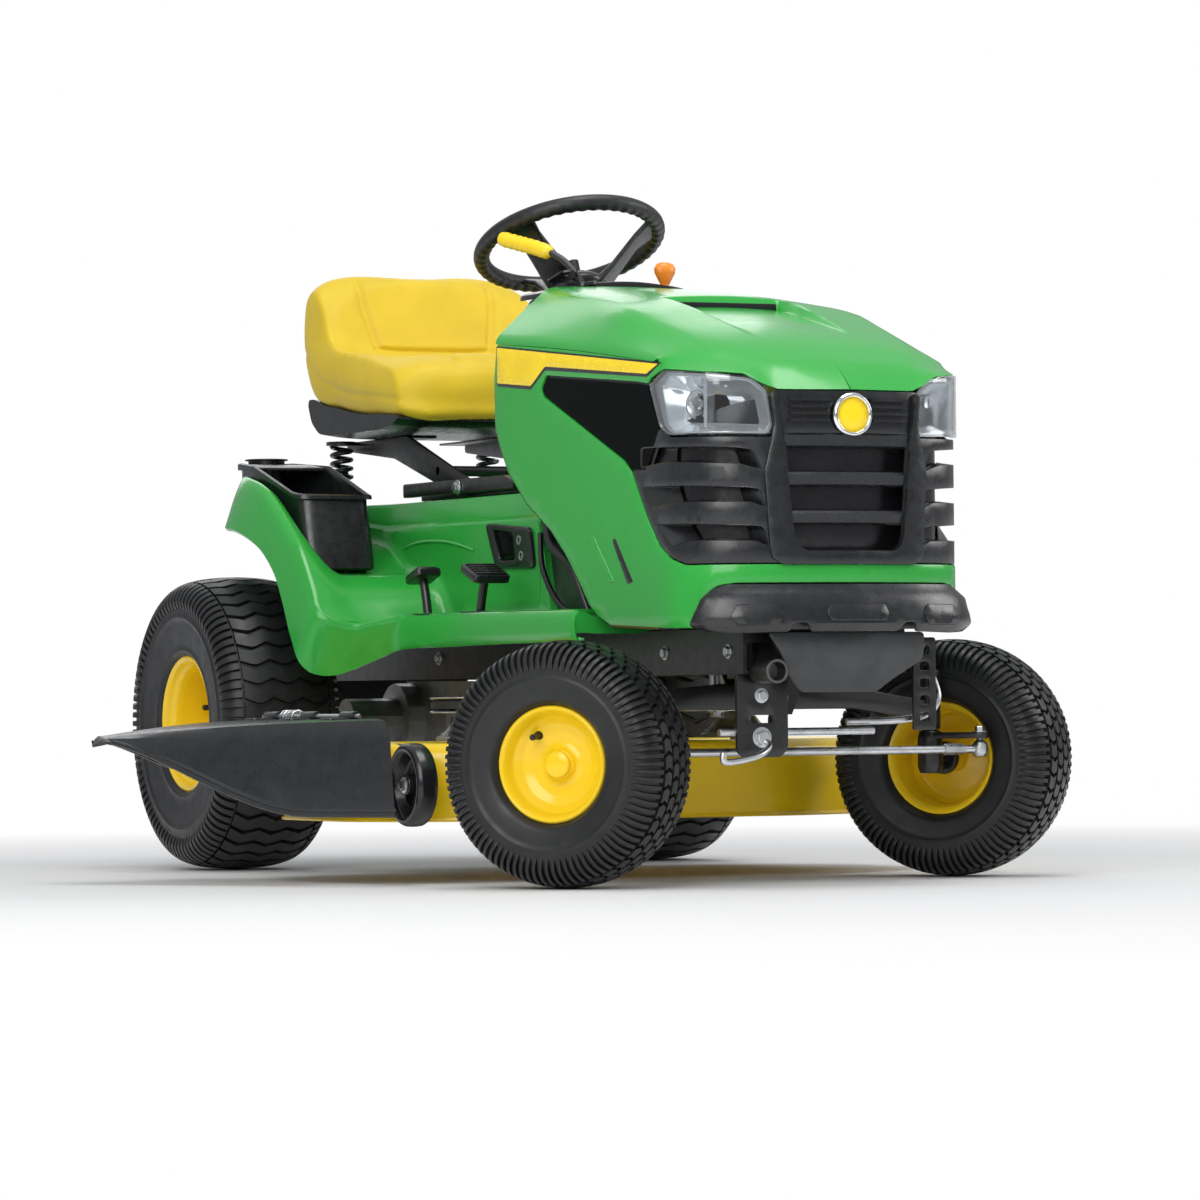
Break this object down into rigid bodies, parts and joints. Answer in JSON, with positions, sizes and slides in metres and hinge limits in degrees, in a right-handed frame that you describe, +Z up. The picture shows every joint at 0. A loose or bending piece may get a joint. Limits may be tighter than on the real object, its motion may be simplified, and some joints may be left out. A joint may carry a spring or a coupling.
{
  "type": "riding lawn mower",
  "caption": "Green and yellow lawn tractor with a side-discharge mower deck, forward-hinged hood, moulded seat, foot pedals and linked front-wheel steering.",
  "frame": {"origin": "centre of the rear hitch plate's flat face, on the machine's centre plane, 300 mm above the ground and 222 mm behind the rear axle", "axes": "+Z up, -Y forward (the way the mower drives), +X towards the operator's left"},
  "size_m": [1.424, 1.832, 1.1269],
  "materials": {
    "green_paint": "gloss",
    "yellow_paint": "gloss",
    "yellow_vinyl": "satin",
    "black_plastic": "textured matte",
    "black_paint": "semi-gloss",
    "rubber": "matte",
    "belt_rubber": "matte",
    "cast_metal": "as cast",
    "bare_steel": "zinc plated",
    "clear_lens": "clear",
    "orange_plastic": "satin",
    "yellow_plastic": "satin"
  },
  "bodies": {
    "chassis": {"frame": "black_paint", "hitch_plate": "black_paint", "axle_pivot_bolt": "bare_steel", "transaxle": "cast_metal", "engine": "cast_metal", "muffler": "cast_metal", "fuel_tank": "black_plastic", "battery": "black_plastic", "fender_deck": "green_paint", "storage_tray": "black_plastic", "dash_console": "black_plastic", "front_bumper": "black_plastic", "skid_plate": "cast_metal", "seat_hinge_pin": "black_paint", "deck_hanger": "black_paint"},
    "front_axle": {"front_axle": "black_paint"},
    "steer_left": {"spindle_left": "black_paint"},
    "steer_right": {"spindle_right": "black_paint"},
    "front_wheel_left": {"front_rim_left": "yellow_paint", "front_tyre_left": "rubber"},
    "front_wheel_right": {"front_rim_right": "yellow_paint", "front_tyre_right": "rubber"},
    "tie_rod": {"tie_rod": "bare_steel"},
    "rear_wheel_left": {"axle_shaft_left": "bare_steel", "rear_rim_left": "yellow_paint", "rear_tyre_left": "rubber"},
    "rear_wheel_right": {"axle_shaft_right": "bare_steel", "rear_rim_right": "yellow_paint", "rear_tyre_right": "rubber"},
    "crankshaft": {"engine_pulley": "bare_steel"},
    "hood": {"hood": "green_paint", "grille": "black_plastic", "headlight_left": "clear_lens", "headlight_right": "clear_lens"},
    "seat_bracket": {"seat_bracket": "black_paint", "seat_spring_left": "black_paint", "seat_spring_right": "black_paint"},
    "seat": {"seat_shell": "black_plastic", "seat_cushion": "yellow_vinyl"},
    "steering_wheel": {"steering_wheel": "black_plastic", "steering_shaft": "black_paint"},
    "throttle": {"throttle_lever": "orange_plastic"},
    "pto": {"pto_lever": "yellow_plastic"},
    "key": {"ignition_key": "bare_steel"},
    "lift_lever": {"lift_lever": "black_plastic"},
    "brake_pedal": {"brake_pedal": "black_plastic"},
    "forward_pedal": {"forward_pedal": "black_plastic"},
    "reverse_pedal": {"reverse_pedal": "black_plastic"},
    "fuel_cap": {"fuel_cap": "black_plastic"},
    "deck": {"mower_deck": "yellow_paint", "deck_spindle_left": "cast_metal", "deck_spindle_right": "cast_metal", "deck_belt": "belt_rubber"},
    "blade_left": {"blade_left": "bare_steel", "deck_pulley_left": "bare_steel"},
    "blade_right": {"blade_right": "bare_steel", "deck_pulley_right": "bare_steel"},
    "chute": {"discharge_chute": "black_plastic"},
    "gauge_wheel_left": {"gauge_wheel_left": "black_plastic"},
    "gauge_wheel_right": {"gauge_wheel_right": "black_plastic"}
  },
  "joints": [
    {"name": "front_axle_pivot", "type": "hinge", "parent": "chassis", "child": "front_axle", "pos_m": [0, -1.467, -0.012], "axis": [0, 1, 0], "range_deg": [-5, 5]},
    {"name": "steer_left", "type": "hinge", "parent": "front_axle", "child": "steer_left", "pos_m": [0.295, -1.467, -0.1], "axis": [0, 0, 1], "range_deg": [-80, 2]},
    {"name": "steer_right", "type": "hinge", "parent": "front_axle", "child": "steer_right", "pos_m": [-0.295, -1.467, -0.1], "axis": [0, 0, 1], "range_deg": [-80.5, 2.5]},
    {"name": "tie_rod_pivot", "type": "hinge", "parent": "steer_left", "child": "tie_rod", "pos_m": [0.34849, -1.53306, -0.096], "axis": [0, 0, 1], "range_deg": [-2.5, 80.5]},
    {"name": "front_left_spin", "type": "hinge", "parent": "steer_left", "child": "front_wheel_left", "pos_m": [0.36961, -1.40659, -0.11], "axis": [0.7771, 0.6293, 0], "continuous": true},
    {"name": "front_right_spin", "type": "hinge", "parent": "steer_right", "child": "front_wheel_right", "pos_m": [-0.36961, -1.52741, -0.11], "axis": [0.7771, 0.6293, 0], "continuous": true},
    {"name": "rear_left_spin", "type": "hinge", "parent": "chassis", "child": "rear_wheel_left", "pos_m": [0.397, -0.222, -0.047], "axis": [1, 0, 0], "continuous": true},
    {"name": "rear_right_spin", "type": "hinge", "parent": "chassis", "child": "rear_wheel_right", "pos_m": [-0.397, -0.222, -0.047], "axis": [1, 0, 0], "continuous": true},
    {"name": "steering_wheel_turn", "type": "hinge", "parent": "chassis", "child": "steering_wheel", "pos_m": [0, -0.762, 0.755], "axis": [0, 0.3907, 0.9205], "range_deg": [-481, 13]},
    {"name": "hood_hinge", "type": "hinge", "parent": "chassis", "child": "hood", "pos_m": [0, -1.77, 0.16], "axis": [1, 0, 0], "range_deg": [0, 60]},
    {"name": "seat_tilt", "type": "hinge", "parent": "chassis", "child": "seat_bracket", "pos_m": [0, -0.594, 0.35], "axis": [1, 0, 0], "range_deg": [0, 30]},
    {"name": "seat_slide", "type": "slide", "parent": "seat_bracket", "child": "seat", "axis": [0, 1, 0], "range_m": [-0.03, 0.05]},
    {"name": "throttle_pivot", "type": "hinge", "parent": "chassis", "child": "throttle", "pos_m": [0.1, -0.922, 0.63], "axis": [1, 0, 0], "range_deg": [-18, 18]},
    {"name": "pto_pivot", "type": "hinge", "parent": "chassis", "child": "pto", "pos_m": [-0.07, -0.967, 0.632], "axis": [1, 0, 0], "range_deg": [-24, 0]},
    {"name": "key_turn", "type": "hinge", "parent": "chassis", "child": "key", "pos_m": [-0.085, -0.774, 0.55], "axis": [0, 1, 0], "range_deg": [0, 75]},
    {"name": "lift_lever_pivot", "type": "hinge", "parent": "chassis", "child": "lift_lever", "pos_m": [0.222, -0.482, 0.18], "axis": [1, 0, 0], "range_deg": [0, 32]},
    {"name": "deck_lift", "type": "slide", "parent": "chassis", "child": "deck", "axis": [0, 0, 1], "range_m": [-0.0751, 0], "deforming": ["deck_belt"]},
    {"name": "crank_spin", "type": "hinge", "parent": "chassis", "child": "crankshaft", "pos_m": [0, -1.302, -0.019], "axis": [0, 0, 1], "continuous": true},
    {"name": "blade_left_spin", "type": "hinge", "parent": "deck", "child": "blade_left", "pos_m": [0.262, -0.852, -0.019], "axis": [0, 0, 1], "continuous": true},
    {"name": "blade_right_spin", "type": "hinge", "parent": "deck", "child": "blade_right", "pos_m": [-0.262, -0.937, -0.019], "axis": [0, 0, 1], "continuous": true},
    {"name": "chute_hinge", "type": "hinge", "parent": "deck", "child": "chute", "pos_m": [-0.558, -0.962, -0.036], "axis": [0, 1, 0], "range_deg": [0, 80]},
    {"name": "gauge_left_spin", "type": "hinge", "parent": "deck", "child": "gauge_wheel_left", "pos_m": [0.5, -1.232, -0.143], "axis": [1, 0, 0], "continuous": true},
    {"name": "gauge_right_spin", "type": "hinge", "parent": "deck", "child": "gauge_wheel_right", "pos_m": [-0.5, -1.232, -0.143], "axis": [1, 0, 0], "continuous": true},
    {"name": "brake_pedal_pivot", "type": "hinge", "parent": "chassis", "child": "brake_pedal", "pos_m": [0.208, -0.937, 0.1], "axis": [1, 0, 0], "range_deg": [0, 14]},
    {"name": "forward_pedal_pivot", "type": "hinge", "parent": "chassis", "child": "forward_pedal", "pos_m": [-0.245, -0.922, 0.1], "axis": [1, 0, 0], "range_deg": [-9, 9]},
    {"name": "reverse_pedal_pivot", "type": "hinge", "parent": "chassis", "child": "reverse_pedal", "pos_m": [-0.245, -0.722, 0.1], "axis": [1, 0, 0], "range_deg": [-9, 9]},
    {"name": "fuel_cap_turn", "type": "hinge", "parent": "chassis", "child": "fuel_cap", "pos_m": [0.33, -0.282, 0.4], "axis": [0, 0, 1], "range_deg": [0, 90]}
  ],
  "couplings": [
    {"joint": "steer_right", "follows": "steer_left", "ratio": 1},
    {"joint": "tie_rod_pivot", "follows": "steer_left", "ratio": -1},
    {"joint": "steering_wheel_turn", "follows": "steer_left", "ratio": 6},
    {"joint": "deck_lift", "follows": "lift_lever_pivot", "m_per_rad": -0.13429},
    {"joint": "blade_left_spin", "follows": "crank_spin", "ratio": 0.8333},
    {"joint": "blade_right_spin", "follows": "crank_spin", "ratio": 0.8333},
    {"joint": "reverse_pedal_pivot", "follows": "forward_pedal_pivot", "ratio": 1}
  ]
}
